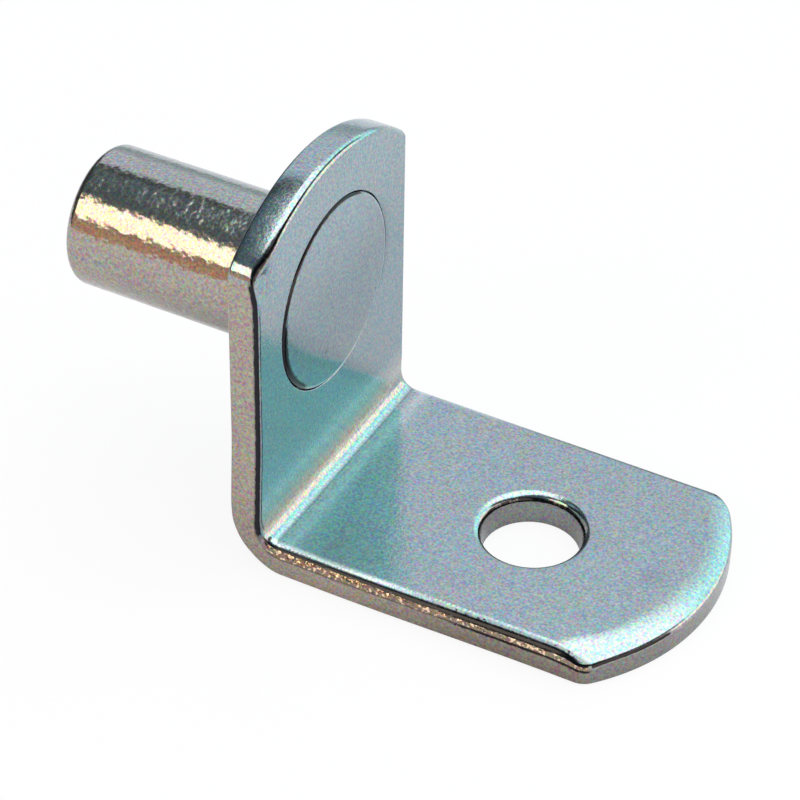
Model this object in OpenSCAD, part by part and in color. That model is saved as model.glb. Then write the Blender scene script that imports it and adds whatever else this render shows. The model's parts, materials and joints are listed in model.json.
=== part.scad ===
// Shelf support pin: a folded steel strip with a headed pin set flush in its upright.
// The origin is where the pin's axis meets the back of the upright.
// The pin points along -X, the leg along +X, and +Z is up. All sizes are in mm.

/* [Strip] */
// Width of the strip
strip_w = 12.5; // [11.5:0.1:14]
// Thickness of the strip
strip_t = 1.5; // [1.4:0.05:2]
// Inside radius of the fold
fold_r = 0.7; // [0.6:0.1:2]
// Radius that both ends of the strip are cut to
end_r = 9.5; // [9.2:0.1:14]

/* [Upright] */
// Height of the upright's top above the pin's axis
upright_rise = 6.7; // [6.4:0.1:9]
// Depth of the leg's underside below the pin's axis
leg_drop = 10.7; // [9.5:0.1:16]

/* [Leg] */
// Distance from the back of the upright to the leg's end
leg_reach = 19.5; // [18:0.1:30]
// Sideways offset of the curved cut at the leg's end
cut_offset = 0.5; // [0:0.1:0.8]
// Rounding of the leg's +Y corner
corner_r = 1.55; // [0.8:0.05:2.4]

/* [Screw hole] */
// Diameter of the screw hole
hole_d = 4.4; // [3:0.1:6]
// Distance from the back of the upright to the hole's axis
hole_x = 11.2; // [9:0.05:13]

/* [Pin] */
// Diameter of the pin
pin_d = 6.35; // [5:0.05:7]
// Length of the pin behind the upright
pin_len = 10.1; // [8:0.1:16]
// Rounding of the pin's free end
pin_end_r = 0.4; // [0.2:0.05:1]
// Diameter of the pin's head
head_d = 8.8; // [8:0.1:9.4]
// Height of the straight rim of the head
rim_h = 0.3; // [0.25:0.05:0.4]
// Rounding of the head's front edge
head_edge_r = 0.2; // [0.05:0.05:0.2]

/* [Rounded edges] */
// Rounding of the strip's sides and of the upright's end, on the inner face
edge_r = 0.5; // [0.1:0.05:0.6]
// Width of the roll at the leg's end, on the inner face
end_roll_w = 1.2; // [0.6:0.1:1.4]
// Depth of the roll at the leg's end
end_roll_d = 0.3; // [0.15:0.05:0.4]
// Rounding of the screw hole's edge, on the inner face
hole_edge_r = 0.35; // [0.1:0.05:0.5]

/* [Fit] */
// Gap round the pin's shank and round the rim of its head
seam = 0.06; // [0.02:0.01:0.12]

/* [Hidden] */
$fn = 96;
// Overlap of a cut past the face that it starts from
over = 0.5;
steel = [0.59, 0.66, 0.7];
bright_steel = [0.66, 0.68, 0.69];
// Axis of the fold, and the bottom of the upright's straight run
fold_x = strip_t + fold_r;
fold_z = fold_x - leg_drop;
// Centres of the two curved cuts
upright_cut_z = upright_rise - end_r;
leg_cut_x = leg_reach - end_r;
// Where the head's taper, which starts at the back of the upright, meets its straight rim
rim_x = strip_t - rim_h;
// Centre of the leg's rounded corner, measured from the centre of the curved cut
corner_dy = strip_w / 2 - corner_r - cut_offset;
corner_dx = sqrt(pow(end_r - corner_r, 2) - pow(corner_dy, 2));

// What a rounding of radius r takes off a corner at the origin that fills x < 0, y < 0
module corner_waste(r) {
    difference() {
        translate([-r, -r]) square(r + over);
        translate([-r, -r]) circle(r = r);
    }
}

// What a roll of width w and depth d takes off the same corner
module roll_waste(w, d) {
    roll_r = (w * w + d * d) / (2 * d);
    difference() {
        translate([-w, -d]) square([w + over, d + over]);
        translate([-w, -roll_r]) circle(r = roll_r);
    }
}

// Cross-section of the strip, with its thickness along X and the inner face at strip_t
module strip_section() {
    difference() {
        translate([0, -strip_w / 2]) square([strip_t, strip_w]);
        translate([strip_t, strip_w / 2]) corner_waste(edge_r);
        mirror([0, 1]) translate([strip_t, strip_w / 2]) corner_waste(edge_r);
    }
}

module upright_run() {
    translate([0, 0, fold_z]) linear_extrude(upright_rise - fold_z) strip_section();
}

module fold_run() {
    translate([fold_x, 0, fold_z])
        rotate([90, 180, 0])
            rotate_extrude(angle = 90)
                translate([fold_x, 0]) mirror([1, 0]) strip_section();
}

module leg_run() {
    translate([fold_x, 0, -leg_drop])
        rotate([180, -90, 0])
            linear_extrude(leg_reach - fold_x) strip_section();
}

// What the curved cut takes off an end that lies along +X, with its inner face at strip_t.
// The child is what comes off the cut's edge.
module end_waste() {
    rotate([0, 0, -90])
        rotate_extrude(angle = 180) {
            translate([end_r, -over]) square([end_r, strip_t + 2 * over]);
            translate([end_r, strip_t]) children();
        }
}

// What the rounding takes off the leg's +Y corner, from the centre of the curved cut
module leg_corner_waste() {
    far_y = 2 * corner_r;
    far_x = far_y * corner_dx / corner_dy;
    translate([corner_dx, corner_dy, -over])
        linear_extrude(strip_t + 2 * over)
            difference() {
                polygon([[0, 0], [far_x, far_y], [0, far_y]]);
                circle(r = corner_r);
            }
}

module screw_hole() {
    translate([hole_x, 0, -leg_drop])
        rotate_extrude() {
            translate([0, -over]) square([hole_d / 2, strip_t + 2 * over]);
            translate([hole_d / 2, strip_t]) mirror([1, 0]) corner_waste(hole_edge_r);
        }
}

module pin_seat() {
    rotate([0, 90, 0]) {
        translate([0, 0, -over]) cylinder(d = pin_d + 2 * seam, h = strip_t + 2 * over);
        cylinder(d1 = pin_d, d2 = head_d, h = rim_x);
        translate([0, 0, rim_x]) cylinder(d = head_d + 2 * seam, h = rim_h + over);
    }
}

module bracket() {
    color(steel)
        difference() {
            union() {
                upright_run();
                fold_run();
                leg_run();
            }
            translate([0, 0, upright_cut_z])
                rotate([0, -90, 180])
                    end_waste() corner_waste(edge_r);
            translate([leg_cut_x, cut_offset, -leg_drop]) {
                end_waste() roll_waste(end_roll_w, end_roll_d);
                leg_corner_waste();
            }
            screw_hole();
            pin_seat();
        }
}

module pin() {
    color(bright_steel)
        rotate([0, 90, 0])
            rotate_extrude()
                difference() {
                    polygon([
                        [0, -pin_len],
                        [pin_d / 2, -pin_len],
                        [pin_d / 2, 0],
                        [head_d / 2, rim_x],
                        [head_d / 2, strip_t],
                        [0, strip_t]
                    ]);
                    translate([pin_d / 2, -pin_len]) mirror([0, 1]) corner_waste(pin_end_r);
                    translate([head_d / 2, strip_t]) corner_waste(head_edge_r);
                }
}

bracket();
pin();
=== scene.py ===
"""Looks of the shelf support pin: its two plated steel pieces, on a pale floor, in studio light."""
import json
import math

import bmesh
import bpy
import numpy as np
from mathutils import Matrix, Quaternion, Vector


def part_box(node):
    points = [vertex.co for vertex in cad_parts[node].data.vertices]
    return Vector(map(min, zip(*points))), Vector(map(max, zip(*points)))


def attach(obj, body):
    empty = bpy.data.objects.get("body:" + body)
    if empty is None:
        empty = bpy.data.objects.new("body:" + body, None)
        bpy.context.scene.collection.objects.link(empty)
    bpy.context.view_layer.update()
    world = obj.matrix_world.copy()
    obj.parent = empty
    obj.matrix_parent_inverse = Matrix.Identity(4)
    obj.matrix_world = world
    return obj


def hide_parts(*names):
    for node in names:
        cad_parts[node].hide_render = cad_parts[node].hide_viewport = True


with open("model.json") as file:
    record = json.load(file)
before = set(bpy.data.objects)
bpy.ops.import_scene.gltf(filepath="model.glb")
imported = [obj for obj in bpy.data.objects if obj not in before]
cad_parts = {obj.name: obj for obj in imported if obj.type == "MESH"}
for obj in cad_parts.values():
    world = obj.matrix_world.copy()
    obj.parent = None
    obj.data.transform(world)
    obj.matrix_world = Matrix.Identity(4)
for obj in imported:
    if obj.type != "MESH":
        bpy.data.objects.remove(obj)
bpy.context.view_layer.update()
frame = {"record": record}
MM = 0.001
TINY = 0.01                 # a distance in mm that is too small to see

# Sizes of the strip, in mm
MOUNTS = {mount["name"]: mount for mount in frame["record"]["mounts"]}
STRIP_LO, STRIP_HI = (np.array(corner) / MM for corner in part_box("bracket"))
STRIP_W = STRIP_HI[1] - STRIP_LO[1]
STRIP_T = MOUNTS["shelf_face"]["pos_m"][2] / MM - STRIP_LO[2]
RISE, DROP, REACH = STRIP_HI[2], -STRIP_LO[2], STRIP_HI[0]
END_R = 9.5                 # radius of the curved cut at both ends
CUT_OFFSET = 0.5            # sideways offset of the leg's cut
LEG_CORNER_R = (1.0, 1.55)  # the leg's near and far corners
SHOULDER_R = (1.2, 0.05)    # the upright's near and far corners
HOLE_X = MOUNTS["screw_hole"]["pos_m"][0] / MM
HOLE_R = MOUNTS["screw_hole"]["dims"]["r_mm"]
FOLD_OUTER_R = 2.4          # outside radius of the fold
FOLD_INNER_X = 1.0          # how far the fold's soft inner curve runs along the leg
FOLD_LEAN = 1.7             # above 1 the curve runs further up the upright
NEAR_BULGE = 0.2            # how far folding has pushed out the near side, next to the fold
NEAR_BULGE_START = (-4, 1)  # where along the strip this comes in, from the fold's start
NEAR_BULGE_END = (13, 2)    # where along the leg it is gone and is whole, from the fold's end
NEAR_BULGE_TUCK = 0.7       # how much of it is missing on the outside of the fold
FAR_BULGE = 0.08            # how far the far side is pushed out, along all of the leg

# Edges of the strip, in mm
UPRIGHT_EDGE_R = 0.16       # rounding of the upright's sides, on the inner face
LEG_EDGE_R = 0.5            # rounding of the leg's sides
ARC_EDGE_R = 0.28           # rounding of the upright's end
ARC_EDGE_DEEP = 1.7         # how much deeper than wide it is
ARC_LIFT = 0.08             # how much higher than the plain piece the upright reaches
END_ROLL = (1.4, 0.34)      # width and depth of the roll at the leg's end
SHOULDER_ROLL = 0.24        # how much deeper the inner face is rolled at the upright's near corner
CORNER_ROLL = 0.18          # the same at the leg's near corner
CORNER_REACH = 0.8          # how far these rolls reach
EDGE_BLEND = 4              # power that blends the drops of edges that meet
HOLE_EDGE_R = 0.42          # rounding of the hole, on the inner face
HOLE_TAPER = 0.08           # how much narrower the hole is at the outer face
SEAT_EDGE_R = 0.04          # rounding of the seat of the pin's head
OUTER_EDGE_R = 0.14         # rounding of all edges of the outer face
LAST_INSET = 0.16           # the outline's strip that is meshed as an edge and not as a face
EDGE_END = math.radians(88)  # slope at which an edge's rounding goes over into the wall
WALL_BULGE = 0.008          # how far a wall is rounded outwards, as a share of its height
SIDE_START = (0.4, 0.1)     # distances from a side between which an end goes over into it
BREAK_DEPTH = 0.04          # groove where the cut broke, on the leg's sides
BREAK_RUN = (6, 10)         # where along the leg it comes in, from the fold's end

# Sizes of the pin, in mm
PIN_LO, PIN_HI = (np.array(corner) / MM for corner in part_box("pin"))
PIN_R, PIN_LEN = MOUNTS["pin"]["dims"]["r_mm"], -PIN_LO[0]
PIN_END_R = 0.4             # rounding of the free end
HEAD_R = PIN_HI[1]
HEAD_EDGE_R = 0.2           # rounding of the head's front edge
HEAD_PROUD = 0.1            # how far the head stands out of the upright
HEAD_CROWN = 0.02           # how far the head's face falls off towards its edge
HEAD_CROWN_POWER = 8        # above 2 the face is flat and falls off late
RIM_H = 0.3                 # straight rim of the head
SEAM = 0.03                 # gap round the head and the shank

# Density of the meshes
SIDE_BAND, SIDE_COLUMNS = 1.0, 20    # width in mm and count of the fine columns along each side
END_BAND, END_ROWS = 1.7, 18         # the same of the fine rows along each end
MIDDLE_COLUMNS = 52
UPRIGHT_ROWS, FOLD_ROWS, LEG_ROWS = 47, 48, 59
RING_STEPS = 5                       # steps from the net to the rings round a hole
EDGE_STEPS = 14                      # steps of the inner face's rounded edges
OUTER_EDGE_ANGLES = np.radians([20, 40, 60, 75])
SEAT_EDGE_ANGLES = np.radians([30, 60, 90])
PIN_SIDES, PIN_EDGE_STEPS, SHANK_STEPS = 192, 12, 39
HEAD_STEPS, HEAD_SPAN, HEAD_GRADE = 26, 0.97, 1.6   # rings on the head's face, denser at its edge
SHARP_ANGLE = math.radians(38)       # a turn between faces that is shown as sharp


# Helpers
def fade(value, start, end):
    """0 at start, 1 at end, and a smooth step between them."""
    share = np.clip((value - start) / (end - start), 0, 1)
    return share * share * (3 - 2 * share)


def peak(distance, width, power=2):
    """1 at no distance, falling off within a width. A higher power has a flatter top."""
    return np.exp(-(distance / width) ** power)


def between(pair, share):
    """The value at a share of the way from the first of a pair to the second."""
    first, second = pair
    return first + (second - first) * share


def graded(width, count, power=1.7):
    """Distances from an edge, close together near it."""
    return width * (np.arange(count + 1) / count) ** power


# Forms of the strip
def fold_paths():
    """x and z along the fold's outer and inner faces, at even shares, and its middle length."""
    steps = 1000
    share = np.linspace(0, 1, steps + 1)
    lean = share ** FOLD_LEAN
    turn = math.pi / 2 * (lean - np.sin(2 * math.pi * lean) / (2 * math.pi))

    def travel(speed):
        """How far a point has gone at each step."""
        return np.concatenate([[0], np.cumsum(speed[1:] + speed[:-1])]) / steps / 2

    sideways, down = travel(np.sin(turn)), travel(np.cos(turn))
    inner_length = FOLD_INNER_X / sideways[-1]
    inner_x = STRIP_T + sideways * inner_length
    inner_z = STRIP_T - DROP + (down[-1] - down) * inner_length
    before, after = inner_z[0] + DROP - FOLD_OUTER_R, inner_x[-1] - FOLD_OUTER_R
    arc = FOLD_OUTER_R * math.pi / 2
    outer_length = before + arc + after
    along = share * outer_length
    angle = np.clip((along - before) / FOLD_OUTER_R, 0, math.pi / 2)
    outer_x = FOLD_OUTER_R * (1 - np.cos(angle)) + np.maximum(along - before - arc, 0)
    outer_z = inner_z[0] - np.minimum(along, before) - FOLD_OUTER_R * np.sin(angle)
    return share, (outer_x, outer_z), (inner_x, inner_z), (inner_length + outer_length) / 2


FOLD_SHARE, FOLD_OUTER, FOLD_INNER, FOLD_LEN = fold_paths()
FOLD_X, FOLD_Z = FOLD_INNER[0][-1], FOLD_INNER[1][0]
MIDDLE_OF_FOLD = (0.4 * FOLD_LEN, 0.6 * FOLD_LEN)

# Centres of the curved cuts, and places along the flat blank from the fold's start
UPRIGHT_CUT_Z, LEG_CUT_X = RISE + ARC_LIFT - END_R, REACH - END_R
LEG_CUT_S = FOLD_LEN + LEG_CUT_X - FOLD_X
HOLE_S = FOLD_LEN + HOLE_X - FOLD_X
PIN_S = FOLD_Z
SHOULDER_S = FOLD_Z - UPRIGHT_CUT_Z - math.sqrt(END_R ** 2 - STRIP_W ** 2 / 4)
LEG_CORNER_S = LEG_CUT_S + math.sqrt(END_R ** 2 - (STRIP_W / 2 + CUT_OFFSET) ** 2)


def bend(s, y, p):
    """Places of points of the flat blank: s along it, y across it, p up from its outer face."""
    s, y, p = np.broadcast_arrays(s, y, p)
    up = p / STRIP_T
    near = NEAR_BULGE * fade(s, *NEAR_BULGE_START) * fade(s - FOLD_LEN, *NEAR_BULGE_END)
    far = FAR_BULGE * fade(s, 0, FOLD_LEN)
    in_fold = fade(s, 0, MIDDLE_OF_FOLD[0]) * fade(s, FOLD_LEN, MIDDLE_OF_FOLD[1])
    near = near * (1 - NEAR_BULGE_TUCK * in_fold * (1 - up))
    side = np.clip(y / STRIP_W * 2, -1, 1)
    y = y + np.where(side < 0, -near, far) * side ** 2
    share = np.clip(s / FOLD_LEN, 0, 1)
    x, z = (
        np.interp(share, FOLD_SHARE, outer) * (1 - up) + np.interp(share, FOLD_SHARE, inner) * up
        for outer, inner in zip(FOLD_OUTER, FOLD_INNER))
    x = x + np.maximum(s - FOLD_LEN, 0)
    z = z - np.minimum(s, 0)
    return np.stack([x, y, z], -1).reshape(-1, 3)


def end_curve(y, centre_y, corner_radii, inset):
    """How far an end reaches beyond the centre of its cut, at each y, its outline moved in."""
    y = y - centre_y
    reach = np.sqrt((END_R - inset) ** 2 - y ** 2)
    for side, r in zip((-1, 1), corner_radii):
        corner_y = side * (STRIP_W / 2 - r) - centre_y
        corner_reach = math.sqrt((END_R - r) ** 2 - corner_y ** 2)
        tangent_y = corner_y * (END_R - inset) / (END_R - r)
        rounded = corner_reach + np.sqrt(np.maximum((r - inset) ** 2 - (y - corner_y) ** 2, 0))
        reach = np.where(side * (y - tangent_y) > 0, rounded, reach)
    return reach


def blank_net(inset):
    """s and y of the flat blank's net, in rows along it and columns across, its outline moved in."""
    from_side = graded(SIDE_BAND, SIDE_COLUMNS)
    middle = np.linspace(-1, 1, MIDDLE_COLUMNS + 1)[1:-1] * (STRIP_W / 2 - SIDE_BAND)
    columns = np.concatenate([from_side - STRIP_W / 2, middle, STRIP_W / 2 - from_side[::-1]])
    y = columns * (1 - 2 * inset / STRIP_W)
    top = FOLD_Z - UPRIGHT_CUT_Z - end_curve(y, 0, SHOULDER_R, inset)
    bottom = LEG_CUT_S + end_curve(y, CUT_OFFSET, LEG_CORNER_R, inset)
    from_end = graded(END_BAND, END_ROWS)
    upright, fold, leg = (np.linspace(0, 1, rows + 1) for rows in (UPRIGHT_ROWS, FOLD_ROWS, LEG_ROWS))
    rows = [top + d for d in from_end]
    rows += [(top + END_BAND) * (1 - f) for f in upright[1:-1]]
    rows += [np.full_like(y, FOLD_LEN * f) for f in fold]
    rows += [FOLD_LEN + (bottom - END_BAND - FOLD_LEN) * f for f in leg[1:-1]]
    rows += [bottom - d for d in from_end[::-1]]
    s = np.array(rows)
    return s, np.broadcast_to(y, s.shape)


def outline(rows):
    """The values round the border of a net, in order."""
    return np.concatenate([rows[0, :-1], rows[:-1, -1], rows[-1, :0:-1], rows[:0:-1, 0]])


def roll(distance, size):
    """Drop of a rolled edge, of a width and depth, at a distance from it."""
    width, depth = size
    radius = (width ** 2 + depth ** 2) / (2 * depth)
    inward = np.clip(width - distance, 0, width)
    return radius - np.sqrt(radius ** 2 - inward ** 2)


def side_edge_r(s):
    """Rounding of the strip's sides, which grows from the upright to the leg."""
    return between((UPRIGHT_EDGE_R, LEG_EDGE_R), fade(s, 0, FOLD_LEN))


def at_side(y):
    """1 at the strip's sides and 0 away from them."""
    return fade(STRIP_W / 2 - np.abs(y), *SIDE_START)


def corner_drop(s, y):
    """Drop of the inner face at the two near corners."""
    drop = 0
    for corner_s, depth in ((SHOULDER_S, SHOULDER_ROLL), (LEG_CORNER_S, CORNER_ROLL)):
        drop = drop + depth * peak(np.hypot(s - corner_s, y + STRIP_W / 2), CORNER_REACH)
    return drop


def inner_height(s, y):
    """Height of the inner face above the outer one, with its rounded edges."""
    side_r = side_edge_r(s)
    side = roll(STRIP_W / 2 - np.abs(y), (side_r, side_r))
    up = FOLD_Z - s - UPRIGHT_CUT_Z
    along = s - LEG_CUT_S
    arc = ARC_EDGE_DEEP * roll(END_R - np.hypot(up, y), (ARC_EDGE_R, ARC_EDGE_R))
    upright_end = np.where(up > 0, arc, 0)
    leg_end = np.where(along > 0, roll(END_R - np.hypot(along, y - CUT_OFFSET), END_ROLL), 0)
    hole = roll(np.hypot(s - HOLE_S, y) - HOLE_R, (HOLE_EDGE_R, HOLE_EDGE_R))
    drops = np.stack(np.broadcast_arrays(side, upright_end, leg_end, hole))
    return STRIP_T - (drops ** EDGE_BLEND).sum(0) ** (1 / EDGE_BLEND) - corner_drop(s, y)


def outer_height(s, y):
    return np.zeros(np.broadcast(s, y).shape)


# Looks of the strip are shares of bare metal, of darkening and of painted highlight. The darkening is real
# tarnish and marks in a few places, and painted shade and painted dark reflections in most. Places are in
# mm and slopes in degrees. A pair is where a look starts and where it is whole, along the strip from the
# fold's start unless its name or comment says otherwise.
FRONT_SHADE, FRONT_SHADE_Z = 0.19, (5.5, -1)             # painted shade on the upright, darker towards the bottom
SHADE_LINE = 0.2                             # more painted shade along a line across the upright, where the leg's far edge is reflected
SHADE_LINE_PLACE = (0.694, 0.72, -2.7)       # factors of Y and Z, and their sum on that line
SHADE_LINE_WIDTH, SHADE_LINE_Y = 0.45, (-5, -3)
BESIDE_HEAD, BESIDE_HEAD_WIDTH = 0.24, 0.28  # a darker band just outside the head's edge, on its far side
BESIDE_HEAD_SIDE = (0.8, 0.95)               # how far round that is, as a cosine
FRONT_SHADE_MOST = 0.36


def front_painted_shade(y, z):
    """Share of painted shade on the front of the upright and of the pin's head: darker towards the bottom
    and along a line, with a darker band beside the head's edge.
    """
    by_y, by_z, total = SHADE_LINE_PLACE
    line = peak(by_y * y + by_z * z - total, SHADE_LINE_WIDTH) * fade(y, *SHADE_LINE_Y)
    reach = np.maximum(np.hypot(y, z), TINY)
    beside_head = peak(reach - HEAD_R, BESIDE_HEAD_WIDTH) * fade(y / reach, *BESIDE_HEAD_SIDE)
    painted_shade = FRONT_SHADE * fade(z, *FRONT_SHADE_Z) + SHADE_LINE * line + BESIDE_HEAD * beside_head
    return np.minimum(painted_shade, FRONT_SHADE_MOST)


LINE_FLATNESS = 4                            # power that gives a dark line its clear edges
LEG_LINE_START = (0.5 * FOLD_LEN, 0.7 * FOLD_LEN)
LEG_LINE_SLOPE, LEG_LINE_HALF = (45, 50), (7, 17)   # the painted dark line on the leg's rounding, a stand-in for a dark reflection, and half its width
LEG_LINE_CHANGE = (1, 10)                    # where these go from the first to the second, past the fold
ABOVE_LINE, ABOVE_LINE_START = 0.56, (4, 9)  # paler painted shade above the line, which dims the highlight there, past the fold
ABOVE_LINE_SLOPES = ((8, 24), (70, 50))      # where it comes in and goes out
UPRIGHT_LINE_SLOPE = (36, 58)                # the painted dark line on the upright's rounding, a stand-in for a dark reflection
UPRIGHT_LINE_START = (SHOULDER_S - 0.3, SHOULDER_S + 0.2)
UPRIGHT_LINE_END = (0.75 * FOLD_LEN, 0.4 * FOLD_LEN)


def line_slope(s):
    """Slope of the leg's dark line, and half its width."""
    share = fade(s - FOLD_LEN, *LEG_LINE_CHANGE)
    return between(LEG_LINE_SLOPE, share), between(LEG_LINE_HALF, share)


def side_painted_shade(s, angle):
    """Share of painted shade on the rounding of the strip's sides, at a slope: dark lines in place of dark
    reflections, and a paler band that dims a highlight.
    """
    degrees = np.degrees(angle)
    on_upright = fade(s, *UPRIGHT_LINE_END) * fade(s, *UPRIGHT_LINE_START)
    middle, half = line_slope(s)
    line = peak(degrees - middle, half, LINE_FLATNESS)
    above = ABOVE_LINE * fade(s - FOLD_LEN, *ABOVE_LINE_START)
    for slopes in ABOVE_LINE_SLOPES:
        above = above * fade(degrees, *slopes)
    on_leg = fade(s, *LEG_LINE_START) * np.maximum(line, above)
    return on_upright * fade(degrees, *UPRIGHT_LINE_SLOPE) + on_leg


SIDE_HIGHLIGHT = 0.7                             # painted highlight at the start of the leg's rounding
SIDE_HIGHLIGHT_SLOPE, SIDE_HIGHLIGHT_WIDTH = 20, 10
SIDE_HIGHLIGHT_START = (0.7 * FOLD_LEN, FOLD_LEN)
SIDE_HIGHLIGHT_END = (7, 3)                      # past the fold


def side_painted_highlight(s, angle):
    """Share of painted highlight on the start of the leg's rounding, next to the fold."""
    start = peak(np.degrees(angle) - SIDE_HIGHLIGHT_SLOPE, SIDE_HIGHLIGHT_WIDTH)
    return SIDE_HIGHLIGHT * fade(s, *SIDE_HIGHLIGHT_START) * fade(s - FOLD_LEN, *SIDE_HIGHLIGHT_END) * start


ARC_LINE, ARC_LINE_END = 0.9, (3.5, 1.5)     # painted dark line on the upright's end, a stand-in for a dark reflection, and its far end by Y
ARC_LINE_SLOPE, ARC_LINE_HALF = (51, 57), (5, 25)   # high up and by the near shoulder
ARC_LINE_CHANGE = (-3.5, -5.5)               # where these go from the first to the second, by Y
ARC_STEEPEST = 0.99                          # share of the rounding at which its slope is cut off


def arc_slope(s, y):
    """Slope of the inner face at the rounding of the upright's end."""
    up = np.maximum(FOLD_Z - s - UPRIGHT_CUT_Z, 0)
    inward = np.clip(ARC_EDGE_R - END_R + np.hypot(up, y), 0, ARC_STEEPEST * ARC_EDGE_R)
    return np.arctan(ARC_EDGE_DEEP * inward / np.sqrt(ARC_EDGE_R ** 2 - inward ** 2))


def arc_painted_shade(y, angle):
    """Share of painted shade, a dark line in place of a dark reflection, on that rounding, at a slope. It
    is widest by the near shoulder.
    """
    low = fade(y, *ARC_LINE_CHANGE)
    from_line = np.degrees(angle) - between(ARC_LINE_SLOPE, low)
    return ARC_LINE * fade(y, *ARC_LINE_END) * peak(from_line, between(ARC_LINE_HALF, low), LINE_FLATNESS)


FOLD_WEAR = 0.45                             # bare metal where the strip was folded
FOLD_WEAR_START = (-0.9, 0.25 * FOLD_LEN)
FOLD_WEAR_END = (0.64 * FOLD_LEN, 0.44 * FOLD_LEN)
FOLD_HIGHLIGHT, FOLD_HIGHLIGHT_S = 0.22, 0.34 * FOLD_LEN    # painted highlight there, and its middle
FOLD_HIGHLIGHT_WIDTHS = (0.8, 0.5)               # how far it reaches above the middle and below it
PAST_FOLD_HIGHLIGHT, PAST_FOLD_S = 0.3, FOLD_LEN + 0.2  # painted highlight on the leg next to the fold
PAST_FOLD_WIDTH = 0.32
TOOL_MARK, TOOL_MARK_S = 0.5, 0.86 * FOLD_LEN       # a faint dark line along the fold
TOOL_MARK_WIDTH = 0.05
FRONT_SHADE_END = (0, -0.6)                        # where the upright's painted shade ends, above the fold
BLOTCH, BLOTCH_R = 0.22, 0.548               # a dull blotch on the leg
BLOTCH_S, BLOTCH_Y = FOLD_LEN - FOLD_X + 17.0, -0.3


def inner_look(s, y):
    """Shares of bare metal, of darkening (mostly painted shade and dark reflections) and of painted
    highlight on the inner face.
    """
    slope = np.arcsin(np.clip(1 - (STRIP_W / 2 - np.abs(y)) / side_edge_r(s), 0, 1))
    bare = FOLD_WEAR * fade(s, *FOLD_WEAR_START) * fade(s, *FOLD_WEAR_END)
    from_highlight = s - FOLD_HIGHLIGHT_S
    in_fold = FOLD_HIGHLIGHT * peak(from_highlight, np.where(from_highlight < 0, *FOLD_HIGHLIGHT_WIDTHS))
    past_fold = PAST_FOLD_HIGHLIGHT * peak(s - PAST_FOLD_S, PAST_FOLD_WIDTH)
    painted_highlight = in_fold + past_fold + side_painted_highlight(s, slope)
    painted_shade = front_painted_shade(y, FOLD_Z - s) * fade(s, *FRONT_SHADE_END)
    mark = TOOL_MARK * peak(s - TOOL_MARK_S, TOOL_MARK_WIDTH)
    blotch = BLOTCH * peak(np.hypot(s - BLOTCH_S, y - BLOTCH_Y), BLOTCH_R)
    dark = np.maximum(np.maximum(painted_shade, mark), np.maximum(blotch, side_painted_shade(s, slope)))
    dark = np.maximum(dark, arc_painted_shade(y, arc_slope(s, y)))
    return bare.reshape(-1), dark.reshape(-1), painted_highlight.reshape(-1)


def outer_look(s, y):
    return 0.0, 0.0, 0.0


# Building of meshes
class Net:
    """Points, in mm, and faces of a mesh.

    Each point has a look: its shares of bare metal, of darkening (painted shade, painted dark reflections
    and real tarnish) and of painted highlight.
    """

    def __init__(self):
        self.points, self.faces = [], []
        self.looks = {"bare": [], "dark": [], "painted_highlight": []}

    def add(self, points, bare=0.0, dark=0.0, painted_highlight=0.0):
        """Adds points with their looks. Gives their numbers."""
        first = len(self.points)
        self.points.extend(np.asarray(points, float).tolist())
        count = len(self.points) - first
        for values, value in zip(self.looks.values(), (bare, dark, painted_highlight)):
            values.extend(np.broadcast_to(value, count).tolist())
        return np.arange(first, len(self.points))

    def strip(self, a, b):
        """Quads between two closed loops."""
        for k in range(len(a)):
            m = (k + 1) % len(a)
            self.faces.append((a[k], a[m], b[m], b[k]))

    def to_object(self, name):
        """A smooth closed mesh, its faces turned outwards."""
        used = sorted({k for face in self.faces for k in face})
        place = {old: new for new, old in enumerate(used)}
        net = bmesh.new()
        corners = [net.verts.new(Vector(self.points[k]) * MM) for k in used]
        for face in self.faces:
            net.faces.new([corners[place[k]] for k in face])
        bmesh.ops.recalc_face_normals(net, faces=net.faces)
        mesh = bpy.data.meshes.new(name)
        net.to_mesh(mesh)
        net.free()
        mesh.shade_smooth()
        mesh.set_sharp_from_angle(angle=SHARP_ANGLE)
        for key, values in self.looks.items():
            layer = mesh.attributes.new(key, "FLOAT", "POINT")
            layer.data.foreach_set("value", [values[k] for k in used])
        piece = bpy.data.objects.new(name, mesh)
        bpy.context.scene.collection.objects.link(piece)
        return piece


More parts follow.
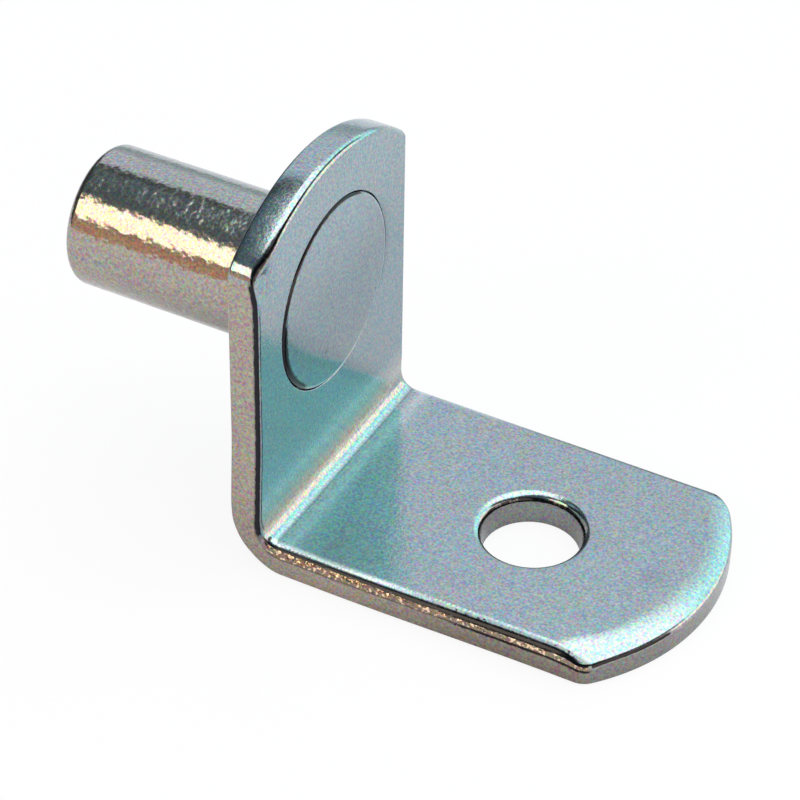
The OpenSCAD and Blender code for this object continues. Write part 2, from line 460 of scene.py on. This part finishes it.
class Ring:
    """A round hole in the blank's net: the quads round it and the loop that they end in."""

    def __init__(self, s, room, radii, look):
        self.s, self.room, self.radii, self.look = s, room, radii, look

    def block(self):
        """First and last rows and columns of the net that the hole and the room round it take."""
        s, y = blank_net(0)
        columns = np.nonzero(np.abs(y[0]) < self.room)[0]
        j0, j1 = columns[0] - 1, columns[-1] + 1
        i0 = np.nonzero((s[:, j0:j1 + 1] < self.s - self.room).all(1))[0][-1]
        i1 = np.nonzero((s[:, j0:j1 + 1] > self.s + self.room).all(1))[0][0]
        return i0, i1, j0, j1

    def at(self, radius):
        """s and y of a loop of a radius."""
        return self.s + radius * self.way[:, 0], radius * self.way[:, 1]

    def fill(self, net, index, s, y, height):
        """Adds the quads from the net's rows and columns down to the last radius."""
        i0, i1, j0, j1 = self.block()
        rim = [(i0, j) for j in range(j0, j1)] + [(i, j1) for i in range(i0, i1)]
        rim += [(i1, j) for j in range(j1, j0, -1)] + [(i, j0) for i in range(i1, i0, -1)]
        loop = np.array([index[k] for k in rim])
        offset = np.array([(s[k] - self.s, y[k]) for k in rim])
        reach = np.hypot(*offset.T)
        self.way = offset / reach[:, None]
        shares = np.linspace(0, 1, RING_STEPS + 1)[1:-1]
        for radius in [reach + (self.radii[0] - reach) * f for f in shares] + list(self.radii):
            point_s, point_y = self.at(radius)
            look = self.look(point_s, point_y)
            following = net.add(bend(point_s, point_y, height(point_s, point_y)), *look)
            net.strip(loop, following)
            loop = following
        self.loop = loop


def add_face(net, inset, height, rings, look):
    """One face of the blank, with a ring of quads round each hole. Gives the loop of its outline."""
    s, y = blank_net(inset)
    index = net.add(bend(s, y, height(s, y)), *look(s, y)).reshape(s.shape)
    kept = np.ones((s.shape[0] - 1, s.shape[1] - 1), bool)
    for ring in rings:
        i0, i1, j0, j1 = ring.block()
        kept[i0:i1, j0:j1] = False
    for i, j in zip(*np.nonzero(kept)):
        net.faces.append((index[i, j], index[i, j + 1], index[i + 1, j + 1], index[i + 1, j]))
    for ring in rings:
        ring.fill(net, index, s, y, height)
    return outline(index)


def add_edge(net, loop, place, look):
    """Rounds the inner face's edge over into the wall. place(inset) gives the edge, moved in.

    look(angle) gives the look at a slope. Gives the new loop and its heights.
    """
    edge_p = inner_height(*place(LAST_INSET))
    slope = (inner_height(*place(LAST_INSET + TINY)) - edge_p) / TINY
    start = np.arctan(slope)
    radius = LAST_INSET / (1 - np.sin(start))
    for share in np.linspace(0, 1, EDGE_STEPS + 1)[1:]:
        angle = start + (EDGE_END - start) * share
        inset = LAST_INSET - radius * (np.sin(angle) - np.sin(start))
        p = edge_p - radius * (np.cos(start) - np.cos(angle))
        following = net.add(bend(*place(inset), p), *look(angle))
        net.strip(loop, following)
        loop = following
    return loop, p


# Depths below the top of a wall, and there: the groove's depth, and the shares of its painted shade, of the
# top's painted dark line, which stands in for a dark reflection, and of rough metal
WALL_LEVELS = (
    (0.03, 0, 0, 1, 1), (0.07, 0.2, 0.3, 1, 0.9), (0.1, 0.8, 1, 0.7, 0.6), (0.13, 1, 1, 0.5, 0.4),
    (0.16, 0.8, 0.9, 0.2, 0.2), (0.2, 0.2, 0.3, 0, 0.1), (0.25, 0, 0, 0, 0), (0.4, 0, 0, 0, 0))
PLAIN_WALL = (0.33, 0.66, 1)      # further levels, as shares of the wall below these
ROUGH_DARK = 0.34                 # painted shade on the rough strip on the leg's sides, between the painted glints


def add_wall(net, loop, place, top, outer_loop, bare, dark, top_dark=0.0, rough=0.0, taper=0.0):
    """The sheared wall, down to the outer face's loop. On the leg's sides it shows where the cut broke.

    bare and dark are shares of all of the wall; top_dark and rough are those of a strip along its top.
    taper is how far the wall stands out at the outer face.
    """
    s, y = place(0)
    groove = at_side(y) * fade(s - FOLD_LEN, *BREAK_RUN)
    height = top - OUTER_EDGE_R
    last_drop = WALL_LEVELS[-1][0]
    levels = list(WALL_LEVELS) + [(between((last_drop, height), f), 0, 0, 0, 0) for f in PLAIN_WALL]
    for drop, depth, line, top_share, rough_share in levels:
        place_in_wall = 1 - 2 * drop / height
        inset = groove * depth * BREAK_DEPTH - WALL_BULGE * height * (1 - place_in_wall ** 2)
        inset = inset - taper * drop / height
        roughened = rough * rough_share
        # painted shade in the break groove, the painted dark line along the upright's sides, and painted
        # shade on the rough strip
        darkening = np.maximum(np.maximum(groove * line, top_dark * top_share), ROUGH_DARK * roughened)
        look = np.maximum(bare, roughened), np.maximum(dark, darkening)
        following = net.add(bend(*place(inset), top - drop), *look)
        net.strip(loop, following)
        loop = following
    for angle in OUTER_EDGE_ANGLES:
        inset = OUTER_EDGE_R * (1 - math.cos(angle)) - taper
        following = net.add(bend(*place(inset), OUTER_EDGE_R * (1 - math.sin(angle))), bare, dark)
        net.strip(loop, following)
        loop = following
    net.strip(loop, outer_loop)


# Distances of the rings from the edge of the hole or seat, and the flat room round them
HOLE_RINGS = (0.75, 0.6, 0.5, 0.43, 0.37, 0.32, 0.28, 0.24, 0.2, LAST_INSET)
SEAT_RINGS = (0.3, 0.2, 0.1, SEAT_EDGE_R)
OUTER_HOLE_RINGS = (0.75, 0.3, OUTER_EDGE_R - HOLE_TAPER)
OUTER_RING = 0.3
HOLE_ROOM, SEAT_ROOM = 0.85, 0.4

# Looks of the strip's edges and walls
SHEARED_START = (SHOULDER_S, SHOULDER_S + 0.5)      # where the sheared walls start, below the shoulder
WALL_BARE, WALL_SLOPE = 0.7, (60, 75)        # their bare metal, and where an edge takes it on
ROUGH_START = (0.5 * FOLD_LEN, 0.8 * FOLD_LEN)      # the rough strip on the leg's sides
WALL_LINE_END = (0.75 * FOLD_LEN, 0.3 * FOLD_LEN)   # the painted dark line on the upright's sides, a stand-in for a dark reflection
SIDE_DARK, SIDE_DARK_START = 0.36, (2, 9)    # painted shade on the leg's sides, past the fold
END_START = (5, 6)                           # where the leg's end begins, past the fold
END_BARE_LESS, END_DARK = 0.3, 0.27          # how much less bare it is, and how much darker
END_CORNER_DARK = 0.1                        # darker still by its near corner
END_CORNER_Y = (-2.0, -3.2)                  # where that starts and is whole, by Y
END_LINE_SLOPES = ((42, 52), (84, 74))       # a painted dark line there, standing in for a dark reflection, and where it comes in and goes out
HOLE_BARE, HOLE_SHADE = 0.4, 0.3             # bare metal of the hole's wall, and painted shade in it
HOLE_SLOPE = (50, 80)                        # where the hole's edge takes them on
HOLE_LINE, HOLE_LINE_SLOPES = 0.8, ((44, 56), (86, 74))   # a painted dark line on that edge, standing in for a dark reflection


def make_bracket():
    """The folded strip, with its hole and the seat of the pin's head."""
    net = Net()
    seat_r, bore_r = HEAD_R + SEAM, PIN_R + SEAM
    hole_room, seat_room = HOLE_R + HOLE_ROOM, seat_r + SEAT_ROOM
    under_seat = [seat_r + OUTER_RING, seat_r, bore_r + OUTER_RING, bore_r + OUTER_EDGE_R]
    hole = Ring(HOLE_S, hole_room, [HOLE_R + d for d in HOLE_RINGS], inner_look)
    seat = Ring(PIN_S, seat_room, [seat_r + d for d in SEAT_RINGS], inner_look)
    outer_hole = Ring(HOLE_S, hole_room, [HOLE_R + d for d in OUTER_HOLE_RINGS], outer_look)
    outer_bore = Ring(PIN_S, seat_room, under_seat, outer_look)
    rim = add_face(net, LAST_INSET, inner_height, (hole, seat), inner_look)
    outer_rim = add_face(net, OUTER_EDGE_R, outer_height, (outer_hole, outer_bore), outer_look)

    full, moved = ([outline(a) for a in blank_net(d)] for d in (0, LAST_INSET))
    s, y = full
    side = at_side(y)
    sheared = fade(s, *SHEARED_START)
    at_end = (1 - side) * fade(s - FOLD_LEN, *END_START)
    end_corner = at_end * fade(y, *END_CORNER_Y)
    wall_bare = WALL_BARE * sheared * (1 - END_BARE_LESS * at_end)
    side_dark = SIDE_DARK * fade(s - FOLD_LEN, *SIDE_DARK_START) * side
    wall_dark = sheared * (side_dark + END_DARK * at_end + END_CORNER_DARK * end_corner)
    wall_line = side * fade(s, *WALL_LINE_END) * sheared
    wall_rough = side * fade(s, *ROUGH_START)

    def strip_edge(inset):
        """The strip's outline, moved in by an inset that may change from point to point."""
        return [a + (b - a) * inset / LAST_INSET for a, b in zip(full, moved)]

    def strip_look(angle):
        """Look of the strip's edge at a slope."""
        degrees = np.degrees(angle)
        middle, half = line_slope(s)
        rough = wall_rough * fade(degrees, middle + half / 2, middle + half)
        bare = np.maximum(rough, wall_bare * fade(degrees, *WALL_SLOPE))
        end_line = end_corner
        for slopes in END_LINE_SLOPES:
            end_line = end_line * fade(degrees, *slopes)
        dark = np.maximum(np.maximum(side * side_painted_shade(s, angle), end_line), ROUGH_DARK * rough)
        dark = np.maximum(dark, (1 - sheared) * arc_painted_shade(y, angle))
        return bare, dark, side * side_painted_highlight(s, angle)

    def hole_edge(inset):
        """The hole's outline, moved out into the face."""
        return hole.at(HOLE_R + inset)

    def hole_look(angle):
        """Look of the hole's edge at a slope."""
        degrees = np.degrees(angle)
        line = HOLE_LINE
        for slopes in HOLE_LINE_SLOPES:
            line = line * fade(degrees, *slopes)
        worn = fade(degrees, *HOLE_SLOPE)
        return HOLE_BARE * worn, np.maximum(line, HOLE_SHADE * worn), 0.0

    edge, p = add_edge(net, rim, strip_edge, strip_look)
    add_wall(net, edge, strip_edge, p, outer_rim, wall_bare, wall_dark, wall_line, wall_rough)
    edge, p = add_edge(net, hole.loop, hole_edge, hole_look)
    add_wall(net, edge, hole_edge, p, outer_hole.loop, HOLE_BARE, HOLE_SHADE, taper=HOLE_TAPER)

    rim_p = STRIP_T - RIM_H
    taper = (HEAD_R - PIN_R) / rim_p
    levels = []
    for angle in SEAT_EDGE_ANGLES:
        drop = SEAT_EDGE_R * (1 - math.cos(angle))
        levels.append((seat_r + SEAT_EDGE_R * (1 - math.sin(angle)), STRIP_T - drop))
    levels += [(seat_r, rim_p), (HEAD_R, rim_p), (bore_r, SEAM / taper), (bore_r, OUTER_EDGE_R)]
    loop = seat.loop
    for radius, p in levels:
        following = net.add(bend(*seat.at(radius), p))
        net.strip(loop, following)
        loop = following
    net.strip(loop, outer_bore.loop)
    return net.to_object("bracket_strip")


# Looks of the pin. A side is a direction in Y and Z, and its pair is where a look starts and is whole.
FREE_END_RADII = (0.4, 1.0, 1.6, 2.2, 2.6)   # rings on the free end, in mm
SHANK_BARE = (0.28, 0.66)                    # least and most bare metal on the shank
SHANK_WEAR_AND_REFLECTION_SIDE = (-0.8, -0.6)               # where it is worn most, which also paints the warm reflection on that side
RING_SIDE, RING_SIDE_RUN = (-0.82, 0.57), (-0.05, 0.2)   # where the painted shade in the seam round the head's edge is strong
RING_DARK = (0.1, 1.0)                       # least and most of it
RING_START = (0.2, 0.7)                      # angles from the head's face between which it comes in
MARGIN_SIDE, MARGIN_SIDE_RUN = (-0.94, -0.34), (0.78, 0.92)   # where it spreads on to the head's face
MARGIN = (0.12, 0.03)                        # distances from the edge between which it comes in, in mm
HEAD_SHADE, HEAD_SHADE_Z = 0.12, (3.5, -1)   # painted shade on the head, beyond the upright's, darker towards the bottom
HEAD_SHADE_MOST = 0.4


def make_pin():
    """The pin, turned round its axis from a profile of (distance along X, radius, bare, dark)."""
    turn = np.linspace(0, 2 * math.pi, PIN_SIDES + 1)[:-1]

    def towards(side):
        """How far each point of a ring lies towards a side."""
        return np.cos(turn) * side[0] + np.sin(turn) * side[1]

    shank = between(SHANK_BARE, fade(towards(SHANK_WEAR_AND_REFLECTION_SIDE), -1, 1))
    ring_dark = between(RING_DARK, fade(towards(RING_SIDE), *RING_SIDE_RUN))
    margin_dark = fade(towards(MARGIN_SIDE), *MARGIN_SIDE_RUN)

    rim_x = STRIP_T - RIM_H
    front_x = STRIP_T + HEAD_PROUD
    face_r = HEAD_R - HEAD_EDGE_R
    edge_x = front_x - HEAD_CROWN - HEAD_EDGE_R
    quarter = np.linspace(0, math.pi / 2, PIN_EDGE_STEPS + 1)
    profile = [(-PIN_LEN, r, shank, 0) for r in FREE_END_RADII]
    for a in quarter:
        x = PIN_END_R * (1 - math.cos(a)) - PIN_LEN
        profile.append((x, PIN_R - PIN_END_R * (1 - math.sin(a)), shank, 0))
    profile += [(x, PIN_R, shank, 0) for x in np.linspace(PIN_END_R - PIN_LEN, 0, SHANK_STEPS + 1)[1:]]
    # the head's rim, down in the seam, is painted dark as shade
    profile += [(TINY, PIN_R - TINY / 2, shank, 0), (rim_x, HEAD_R - TINY, 0, 1)]
    profile.append((rim_x + TINY, HEAD_R, 0, 1))
    for a in quarter:
        x, r = edge_x + HEAD_EDGE_R * math.sin(a), face_r + HEAD_EDGE_R * math.cos(a)
        # painted shade in the seam, on the head's rounded edge, strongest on the near side
        line = np.maximum(fade(math.pi / 2 - a, *RING_START) * ring_dark, margin_dark)
        profile.append((x, r, 0, line))
    for r in face_r * (1 - graded(HEAD_SPAN, HEAD_STEPS, HEAD_GRADE))[1:]:
        y, z = r * np.cos(turn), r * np.sin(turn)
        painted_shade = np.minimum(front_painted_shade(y, z) + HEAD_SHADE * fade(z, *HEAD_SHADE_Z), HEAD_SHADE_MOST)
        margin = margin_dark * fade(face_r - r, *MARGIN)
        x = front_x - HEAD_CROWN * (r / face_r) ** HEAD_CROWN_POWER
        profile.append((x, r, 0, np.maximum(painted_shade, margin)))

    net = Net()
    loops = []
    for x, r, bare, dark in profile:
        points = np.stack([np.full_like(turn, x), r * np.cos(turn), r * np.sin(turn)], -1)
        loops.append(net.add(points, bare, dark))
    for a, b in zip(loops, loops[1:]):
        net.strip(a, b)
    net.faces.append(tuple(loops[0]))
    net.faces.append(tuple(loops[-1][::-1]))
    return net.to_object("pin_turned")


# Materials
def node(tree, kind, inputs, **settings):
    """A new shader node. Its inputs are numbers, colours or the outputs of other nodes."""
    made = tree.nodes.new("ShaderNode" + kind)
    for key, value in settings.items():
        setattr(made, key, value)
    for key, value in inputs.items():
        if isinstance(value, bpy.types.NodeSocket):
            tree.links.new(value, made.inputs[key])
        else:
            made.inputs[key].default_value = value
    return made


def math_node(tree, operation, *values):
    """The result of a sum, product or the like of numbers and outputs."""
    return node(tree, "Math", dict(enumerate(values)), operation=operation).outputs[0]


def mix(tree, factor, a, b, **settings):
    """Two colours, or a colour and an output, mixed by a factor."""
    a, b = ((*c, 1) if isinstance(c, tuple) else c for c in (a, b))
    return node(tree, "Mix", {0: factor, 6: a, 7: b}, data_type="RGBA", **settings).outputs[2]


def ramp(tree, value, start, end, low=0.0, high=1.0):
    """low below start, high above end, and a smooth step between them."""
    inputs = {"Value": value, "From Min": start, "From Max": end, "To Min": low, "To Max": high}
    return node(tree, "MapRange", inputs, interpolation_type="SMOOTHSTEP").outputs["Result"]


NOISE_ROUGHNESS = 0.55           # how strong the finer details of a noise are


def noise(tree, place, size, detail=2.0, output="Fac"):
    """Noise with grains of about a size in mm."""
    inputs = {"Vector": place, "Scale": 1 / (size * MM), "Detail": detail, "Roughness": NOISE_ROUGHNESS}
    return node(tree, "TexNoise", inputs).outputs[output]


def bump(tree, height, depth, normal=None):
    """A relief of a depth in mm, on top of another one."""
    inputs = {"Height": height, "Distance": depth * MM, "Strength": 1.0}
    if normal is not None:
        inputs["Normal"] = normal
    return node(tree, "Bump", inputs).outputs["Normal"]


# Colours of the plating, and its grains: sizes in mm, details and the noise levels between which they show
BRIGHT = (0.31, 0.40, 0.44)      # bluish zinc
BARE = (0.424, 0.321, 0.233)     # metal with hardly any plating
DARK = (0.025, 0.025, 0.03)      # darkening: painted shade and painted dark reflections along edges and seams, and real tarnish and marks
HIGHLIGHT_PAINT = (0.78, 0.86, 0.88)       # painted highlights on edges and on the fold
GLINT = (0.95, 0.74, 0.52)       # painted glints: warm sparkles of reflected light on torn metal
CLOUD_GRAIN, CLOUD_LEVELS, CLOUD_BARE = (2.4, 3.0), (0.35, 0.7), 0.14   # patches of thinner plating
SPECKLE_GRAIN = (0.12, 2.0)      # grain of the colour
DARKENING_GRAIN, DARKENING_LEVELS = (0.22, 3.0), (0.5, 0.75)   # the ragged edges of the darkening
DARKENING_RAGGED = 0.7               # how ragged they are
DARKENING_EVEN = 0.95                # share of the darkening that is even
GLINT_GRAIN, GLINT_LEVELS = (0.15, 0.0), (0.59, 0.67)
GLINT_BARE = (0.8, 1.0)          # shares of bare metal between which the painted glints come in
DULL_GRAIN, DULL_LEVELS = (0.5, 4.0), (0.3, 0.75)      # changes of the roughness
DULL_SHARES = (0.8, 1.25)        # least and most of it
BARE_ROUGHNESS = 0.06            # how much rougher bare metal is


def plating(name, speckle, roughness, relief, edge_relief):
    """Bright plating, warmer where it is thin, with the painted shade, painted dark reflections and tarnish
    of the dark share, painted highlights, painted glints on bare metal, a speckle and a slight wave.

    relief is sizes, depths and details of noise; edge_relief has a power of the bare share as well,
    and fades out where the plating is whole.
    """
    material = bpy.data.materials.new(name)
    material.use_nodes = True
    tree = material.node_tree
    shader = tree.nodes["Principled BSDF"]
    place = node(tree, "TexCoord", {}).outputs["Object"]
    bare, dark, painted_highlight = (
        node(tree, "Attribute", {}, attribute_name=key).outputs["Fac"] for key in ("bare", "dark", "painted_highlight"))

    cloud = ramp(tree, noise(tree, place, *CLOUD_GRAIN), *CLOUD_LEVELS, 0.0, CLOUD_BARE)
    colour = mix(tree, math_node(tree, "MAXIMUM", bare, cloud), BRIGHT, BARE)
    # painted highlights
    colour = mix(tree, painted_highlight, colour, HIGHLIGHT_PAINT)
    grain = noise(tree, place, *SPECKLE_GRAIN, "Color")
    colour = mix(tree, speckle, colour, grain, blend_type="LINEAR_LIGHT")
    # the dark share, painted shade and tarnish alike, with ragged edges
    ragged = noise(tree, place, *DARKENING_GRAIN)
    ragged = math_node(tree, "MULTIPLY_ADD", ragged, 2 * DARKENING_RAGGED, -DARKENING_RAGGED)
    darkening = ramp(tree, math_node(tree, "ADD", dark, ragged), *DARKENING_LEVELS)
    darkening = math_node(tree, "MAXIMUM", darkening, math_node(tree, "MULTIPLY", dark, DARKENING_EVEN))
    colour = mix(tree, darkening, colour, DARK)
    # painted glints of reflected light on the barest metal
    glint = ramp(tree, noise(tree, place, *GLINT_GRAIN), *GLINT_LEVELS)
    glint = math_node(tree, "MULTIPLY", glint, ramp(tree, bare, *GLINT_BARE))
    colour = mix(tree, glint, colour, GLINT)
    tree.links.new(colour, shader.inputs["Base Color"])

    shader.inputs["Metallic"].default_value = 1.0
    least, most = (roughness * share for share in DULL_SHARES)
    rough = ramp(tree, noise(tree, place, *DULL_GRAIN), *DULL_LEVELS, least, most)
    rough = math_node(tree, "MULTIPLY_ADD", bare, BARE_ROUGHNESS, rough)
    tree.links.new(rough, shader.inputs["Roughness"])

    surface = None
    for size, depth, detail in relief:
        surface = bump(tree, noise(tree, place, size, detail), depth, surface)
    size, depth, detail, power = edge_relief
    torn = math_node(tree, "POWER", bare, power)
    torn = math_node(tree, "MULTIPLY", noise(tree, place, size, detail), torn)
    surface = bump(tree, torn, depth, surface)
    tree.links.new(surface, shader.inputs["Normal"])
    return material


STRIP_PLATING = plating(
    "strip_plating", speckle=0.4, roughness=0.15,
    relief=((7.0, 0.02, 1.0), (0.12, 0.004, 2.0)), edge_relief=(0.36, 0.15, 2.0, 4.0))
PIN_PLATING = plating(
    "pin_plating", speckle=0.38, roughness=0.12,
    relief=((5.0, 0.01, 1.0),), edge_relief=(0.38, 0.034, 1.5, 0.5))

for make, node_name, slot, material in (
        (make_bracket, "bracket", "strip_plating", STRIP_PLATING),
        (make_pin, "pin", "pin_plating", PIN_PLATING)):
    piece = make()
    piece.data.materials.append(material)
    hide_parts(node_name)
    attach(piece, "root")

# Floor
FLOOR_HALF = 1.0                 # half its width, in m
FLOOR_GAP = 0.00001              # how far under the leg it lies, in m
FLOOR_COLOUR = (0.78, 0.78, 0.9)
FLOOR_ROUGHNESS = 0.6
FLOOR_WHITE, FLOOR_WHITE_IN_METAL = 0.9, 0.15   # share of plain white; the rest shows the shadow


def floor_paper():
    """Matt paper, nearly white to the camera and less so in the metal."""
    paper = bpy.data.materials.new("floor_paper")
    paper.use_nodes = True
    tree = paper.node_tree
    matt = tree.nodes["Principled BSDF"]
    matt.inputs["Base Color"].default_value = (*FLOOR_COLOUR, 1)
    matt.inputs["Roughness"].default_value = FLOOR_ROUGHNESS
    white = node(tree, "Emission", {"Color": (1, 1, 1, 1), "Strength": 1.0}).outputs[0]
    path = node(tree, "LightPath", {}).outputs
    seen = math_node(tree, "MAXIMUM", path["Is Camera Ray"], path["Is Transmission Ray"])
    seen = math_node(tree, "MULTIPLY", seen, FLOOR_WHITE)
    in_metal = math_node(tree, "MULTIPLY", path["Is Glossy Ray"], FLOOR_WHITE_IN_METAL)
    seen = math_node(tree, "MAXIMUM", seen, in_metal)
    mixed = node(tree, "MixShader", {0: seen, 1: matt.outputs[0], 2: white}).outputs[0]
    tree.links.new(mixed, tree.nodes["Material Output"].inputs["Surface"])
    return paper


floor_z = STRIP_LO[2] * MM - FLOOR_GAP
corners = [(x * FLOOR_HALF, y * FLOOR_HALF, floor_z) for x, y in ((-1, -1), (1, -1), (1, 1), (-1, 1))]
floor_mesh = bpy.data.meshes.new("floor")
floor_mesh.from_pydata(corners, [], [(0, 1, 2, 3)])
floor_mesh.materials.append(floor_paper())
floor = bpy.data.objects.new("floor", floor_mesh)
bpy.context.scene.collection.objects.link(floor)

# Walls, ceiling and lights of the studio
FAR_WALL = (1.0, 1.0, 1.07)
FAR_WALL_LOW = (0.53, 0.6, 0.6)  # the same, near the floor
NEAR_WALL = (0.9, 0.52, 0.35)
NEAR_RIGHT_WALL = (0.08, 0.08, 0.08)
LEFT_WALL = (0.09, 0.09, 0.09)
RIGHT_WALL = (2.6, 2.1, 1.7)
BEAM = (0.1, 0.1, 0.1)           # dark strip between the far wall and the ceiling
CEILING = (0.155, 0.2, 0.22)
GLOW = (1.4, 2.25, 2.1)          # daylight on the far right
GLOW_END = (1.08, 1.92, 1.8)     # the same, further right
SOFT_BOX = (2.6, 2.65, 2.45)
LEAST_RISE = 0.05                # least rise of a direction, so that its place overhead stays finite


def make_world():
    """The studio, painted on the sky in layers, each over those before it."""
    world = bpy.data.worlds.new("studio")
    bpy.context.scene.world = world
    world.use_nodes = True
    tree = world.node_tree
    way = node(tree, "SeparateXYZ", {0: node(tree, "TexCoord", {}).outputs["Generated"]}).outputs
    rise = math_node(tree, "MAXIMUM", way["Z"], LEAST_RISE)
    measures = {
        "x": way["X"],
        "y": way["Y"],
        "z": way["Z"],
        "across": math_node(tree, "DIVIDE", way["X"], rise),   # places on a level plane overhead
        "back": math_node(tree, "DIVIDE", way["Y"], rise),
    }

    def mask(measure, start, end):
        """0 where a measure of the direction is at start, 1 where it is at end."""
        return ramp(tree, measures[measure], start, end)

    above = mask("z", 0.2, 0.4)
    right = mask("x", 0.4, 0.54)
    off_floor = mask("z", -0.05, 0.05)
    far_wall = mix(tree, mask("z", 0.08, 0.42), FAR_WALL_LOW, FAR_WALL)
    glow = mix(tree, mask("x", 0.24, 0.35), GLOW, GLOW_END)
    layers = (
        (NEAR_RIGHT_WALL, mask("x", -0.3, -0.12)),
        (far_wall, mask("y", -0.35, 0.25)),
        (LEFT_WALL, mask("x", -0.55, -0.75)),
        (BEAM, mask("back", 0.62, 0.5), above),
        (CEILING, mask("back", 0.4, 0.26), above),
        (LEFT_WALL, mask("across", -0.6, -0.85), mask("back", 0.5, 0.3), above),
        (glow, mask("x", -0.2, 0.32), mask("y", 0.35, 0.55), mask("z", 0.0, 0.1)),
        (RIGHT_WALL, right, off_floor, mask("z", 0.56, 0.42)),
        (LEFT_WALL, right, off_floor, mask("z", 0.42, 0.56), mask("y", 0.5, 0.35)),
        (SOFT_BOX, mask("across", -0.445, -0.345), mask("across", 0.95, 0.6),
         mask("back", -0.44, -0.22), mask("back", 1.05, 0.5), above),
    )
    sky = NEAR_WALL
    for colour, shown, *masks in layers:
        for other in masks:
            shown = math_node(tree, "MULTIPLY", shown, other)
        sky = mix(tree, shown, sky, colour)
    tree.links.new(sky, tree.nodes["Background"].inputs["Color"])
    tree.nodes["Background"].inputs["Strength"].default_value = 1.0


make_world()

# Key lamp
KEY_AZIMUTH, KEY_ELEVATION = math.radians(-151), math.radians(32.5)
KEY_DISTANCE = 0.5               # from the origin, in m
KEY_SIZE = (0.28, 0.235)         # width and height, in m
KEY_COLOUR, KEY_RADIANCE = (1.0, 0.82, 0.58), 3.6


def make_key():
    """A warm soft box on the near left, facing the part."""
    level = math.cos(KEY_ELEVATION)
    way = Vector((math.sin(KEY_AZIMUTH) * level, math.cos(KEY_AZIMUTH) * level, math.sin(KEY_ELEVATION)))
    light = bpy.data.lights.new("key", "AREA")
    light.shape = "RECTANGLE"
    light.size, light.size_y = KEY_SIZE
    light.color = KEY_COLOUR
    light.energy = KEY_RADIANCE * math.pi * KEY_SIZE[0] * KEY_SIZE[1]
    key = bpy.data.objects.new("key", light)
    bpy.context.scene.collection.objects.link(key)
    key.location = way * KEY_DISTANCE
    key.rotation_mode = "QUATERNION"
    key.rotation_quaternion = (-way).to_track_quat("-Z", "Y")


make_key()

# Camera
EYE = Vector((52.61, -90.47, 77.52)) * MM
TARGET = Vector((4.744, -0.108, -4.552)) * MM
ROLL = math.radians(0.94)
SENSOR_WIDTH, LENS = 36, 138.1   # in mm
CLIP_START = 0.01                # in m
camera = bpy.data.objects.new("camera", bpy.data.cameras.new("camera"))
bpy.context.scene.collection.objects.link(camera)
camera.data.sensor_width = SENSOR_WIDTH
camera.data.lens = LENS
camera.data.clip_start = CLIP_START
camera.location = EYE
camera.rotation_mode = "QUATERNION"
camera.rotation_quaternion = (TARGET - EYE).to_track_quat("-Z", "Y") @ Quaternion((0, 0, 1), ROLL)
bpy.context.scene.camera = camera
bpy.context.scene.view_settings.view_transform = "Standard"
